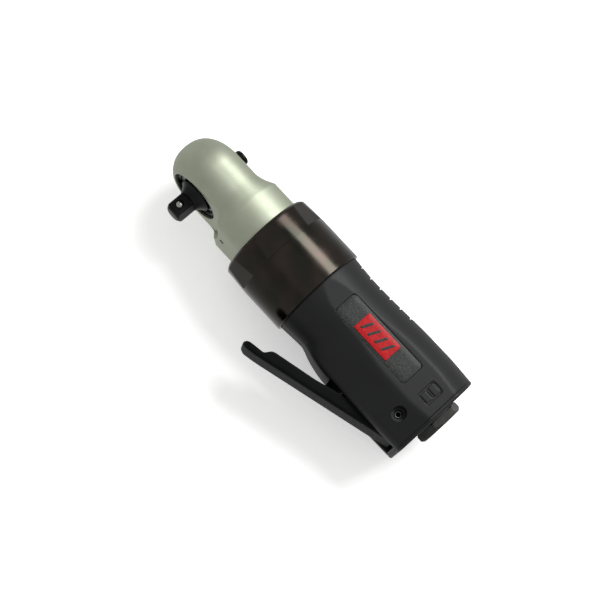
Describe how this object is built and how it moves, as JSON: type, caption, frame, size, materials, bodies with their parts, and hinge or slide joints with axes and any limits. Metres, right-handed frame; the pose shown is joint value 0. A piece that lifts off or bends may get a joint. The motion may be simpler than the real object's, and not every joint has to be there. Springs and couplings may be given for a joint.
{
  "type": "air ratchet",
  "caption": "Short air ratchet: round head with a square drive and a reversing knob, clamp nut, moulded handle with a lever throttle and a hexagonal air inlet.",
  "frame": {"origin": "centre of the square drive at its shoulder", "axes": "+X along the tool towards the air inlet, -Y out of the square drive, +Z out of the side with the name plate"},
  "size_m": [0.14, 0.0549, 0.0392],
  "materials": {
    "blasted_steel": "fine blasted and satin plated",
    "blackened_nut_steel": "turned and blackened, semi-gloss",
    "black_oxide_steel": "black oxide, satin",
    "black_oxide_inlet": "black oxide, satin",
    "ground_steel": "ground",
    "polished_steel": "polished",
    "spring_steel": "drawn wire",
    "machined_alloy": "turned and milled",
    "bearing_bronze": "sintered and oiled",
    "sintered_bronze": "porous",
    "brass": "turned",
    "seal_rubber": "moulded",
    "moulded_nylon": "glass-filled, fine spark texture",
    "plate_film": "fine grain film",
    "red_badge": "printed",
    "lever_paint": "black satin paint",
    "phenolic_laminate": "sawn laminate"
  },
  "bodies": {
    "tool_body": {"head_housing": "blasted_steel", "grease_plug": "black_oxide_steel", "retaining_ring": "black_oxide_steel", "thrust_washer": "ground_steel", "ring_gear": "black_oxide_steel", "crank_bearing_carrier": "black_oxide_steel", "crank_bearing_outer": "polished_steel", "clamp_nut": "blackened_nut_steel", "front_end_plate": "machined_alloy", "front_bearing_outer": "polished_steel", "cylinder_liner": "ground_steel", "liner_pin": "ground_steel", "rear_end_plate": "machined_alloy", "rear_bearing_outer": "polished_steel", "motor_housing": "machined_alloy", "valve_bushing": "brass", "plunger_seal": "seal_rubber", "valve_spring": "spring_steel", "grip_housing": "moulded_nylon", "name_plate": "plate_film", "badge": "red_badge", "lever_pin": "spring_steel", "exhaust_muffler": "sintered_bronze", "rear_cap": "moulded_nylon", "inlet_bushing": "black_oxide_inlet", "inlet_seal": "seal_rubber", "inlet_screen": "brass"},
    "drive": {"anvil": "black_oxide_steel", "detent_spring": "spring_steel", "pawl_pin": "ground_steel"},
    "detent": {"detent_ball": "polished_steel"},
    "reverser": {"reversing_knob": "black_oxide_steel", "pawl_plunger": "ground_steel", "pawl_spring": "spring_steel"},
    "pawl": {"pawl": "ground_steel"},
    "yoke": {"yoke": "black_oxide_steel"},
    "crank": {"crankshaft": "ground_steel", "planet_pin_1": "ground_steel", "planet_pin_2": "ground_steel", "planet_pin_3": "ground_steel", "crank_bearing_inner": "polished_steel"},
    "bushing": {"drive_bushing": "bearing_bronze"},
    "planet_1": {"planet_gear_1": "ground_steel"},
    "planet_2": {"planet_gear_2": "ground_steel"},
    "planet_3": {"planet_gear_3": "ground_steel"},
    "rotor": {"rotor": "ground_steel", "front_bearing_inner": "polished_steel", "rear_bearing_inner": "polished_steel"},
    "vane_1": {"vane_1": "phenolic_laminate"},
    "vane_2": {"vane_2": "phenolic_laminate"},
    "vane_3": {"vane_3": "phenolic_laminate"},
    "vane_4": {"vane_4": "phenolic_laminate"},
    "vane_5": {"vane_5": "phenolic_laminate"},
    "lever": {"throttle_lever": "lever_paint"},
    "plunger": {"throttle_plunger": "ground_steel"},
    "valve": {"throttle_valve": "brass"}
  },
  "joints": [
    {"name": "throttle_press", "type": "hinge", "parent": "tool_body", "child": "lever", "pos_m": [0.1098, -0.0003, 0], "axis": [0, 0, -1], "range_deg": [0, 5.5], "stiffness_Nm_per_rad": 0.25, "springref_deg": -5.73},
    {"name": "plunger_slide", "type": "slide", "parent": "tool_body", "child": "plunger", "axis": [0, 1, 0], "range_m": [0, 0.002]},
    {"name": "valve_slide", "type": "slide", "parent": "tool_body", "child": "valve", "axis": [0, 1, 0], "range_m": [0, 0.00163], "deforming": ["valve_spring"]},
    {"name": "drive_turn", "type": "hinge", "parent": "tool_body", "child": "drive", "pos_m": [0, 0, 0], "axis": [0, -1, 0], "continuous": true},
    {"name": "detent_press", "type": "slide", "parent": "drive", "child": "detent", "axis": [0.2419, 0, -0.9703], "range_m": [0, 0.00063], "stiffness_N_per_m": 200, "springref_m": -0.001, "deforming": ["detent_spring"]},
    {"name": "reverse_turn", "type": "hinge", "parent": "drive", "child": "reverser", "pos_m": [0, 0.0244, 0], "axis": [0, -1, 0], "range_deg": [0, 56]},
    {"name": "pawl_tilt", "type": "hinge", "parent": "drive", "child": "pawl", "pos_m": [-0.00543, 0.0124, -0.00135], "axis": [0, -1, 0], "range_deg": [-10, 0]},
    {"name": "yoke_swing", "type": "hinge", "parent": "tool_body", "child": "yoke", "pos_m": [0, 0.0124, 0], "axis": [0, -1, 0], "range_deg": [-5.4, 5.4]},
    {"name": "rotor_spin", "type": "hinge", "parent": "tool_body", "child": "rotor", "pos_m": [0.063, 0.0124, 0], "axis": [1, 0, 0], "continuous": true},
    {"name": "crank_spin", "type": "hinge", "parent": "tool_body", "child": "crank", "pos_m": [0.0285, 0.0124, 0], "axis": [1, 0, 0], "continuous": true},
    {"name": "bushing_turn", "type": "hinge", "parent": "crank", "child": "bushing", "pos_m": [0.018, 0.01407, -0.0003], "axis": [1, 0, 0], "continuous": true},
    {"name": "planet_1_spin", "type": "hinge", "parent": "crank", "child": "planet_1", "pos_m": [0.0372, 0.01915, 0], "axis": [1, 0, 0], "continuous": true},
    {"name": "planet_2_spin", "type": "hinge", "parent": "crank", "child": "planet_2", "pos_m": [0.0372, 0.00903, 0.00585], "axis": [1, 0, 0], "continuous": true},
    {"name": "planet_3_spin", "type": "hinge", "parent": "crank", "child": "planet_3", "pos_m": [0.0372, 0.00903, -0.00585], "axis": [1, 0, 0], "continuous": true},
    {"name": "vane_1_slide", "type": "slide", "parent": "rotor", "child": "vane_1", "axis": [0, 1, 0], "range_m": [0, 0.0009]},
    {"name": "vane_2_slide", "type": "slide", "parent": "rotor", "child": "vane_2", "axis": [0, 0.309, 0.9511], "range_m": [0, 0.0009]},
    {"name": "vane_3_slide", "type": "slide", "parent": "rotor", "child": "vane_3", "axis": [0, -0.809, 0.5878], "range_m": [0, 0.0009]},
    {"name": "vane_4_slide", "type": "slide", "parent": "rotor", "child": "vane_4", "axis": [0, -0.809, -0.5878], "range_m": [0, 0.0009]},
    {"name": "vane_5_slide", "type": "slide", "parent": "rotor", "child": "vane_5", "axis": [0, 0.309, -0.9511], "range_m": [0, 0.0009]}
  ],
  "couplings": [
    {"joint": "plunger_slide", "follows": "throttle_press", "m_per_rad": 0.0208},
    {"joint": "valve_slide", "follows": "throttle_press", "m_per_rad": 0.0169},
    {"joint": "pawl_tilt", "follows": "reverse_turn", "ratio": -0.17857},
    {"joint": "crank_spin", "follows": "rotor_spin", "ratio": 0.22222},
    {"joint": "bushing_turn", "follows": "rotor_spin", "ratio": -0.22222},
    {"joint": "planet_1_spin", "follows": "rotor_spin", "ratio": -0.62222},
    {"joint": "planet_2_spin", "follows": "rotor_spin", "ratio": -0.62222},
    {"joint": "planet_3_spin", "follows": "rotor_spin", "ratio": -0.62222}
  ]
}
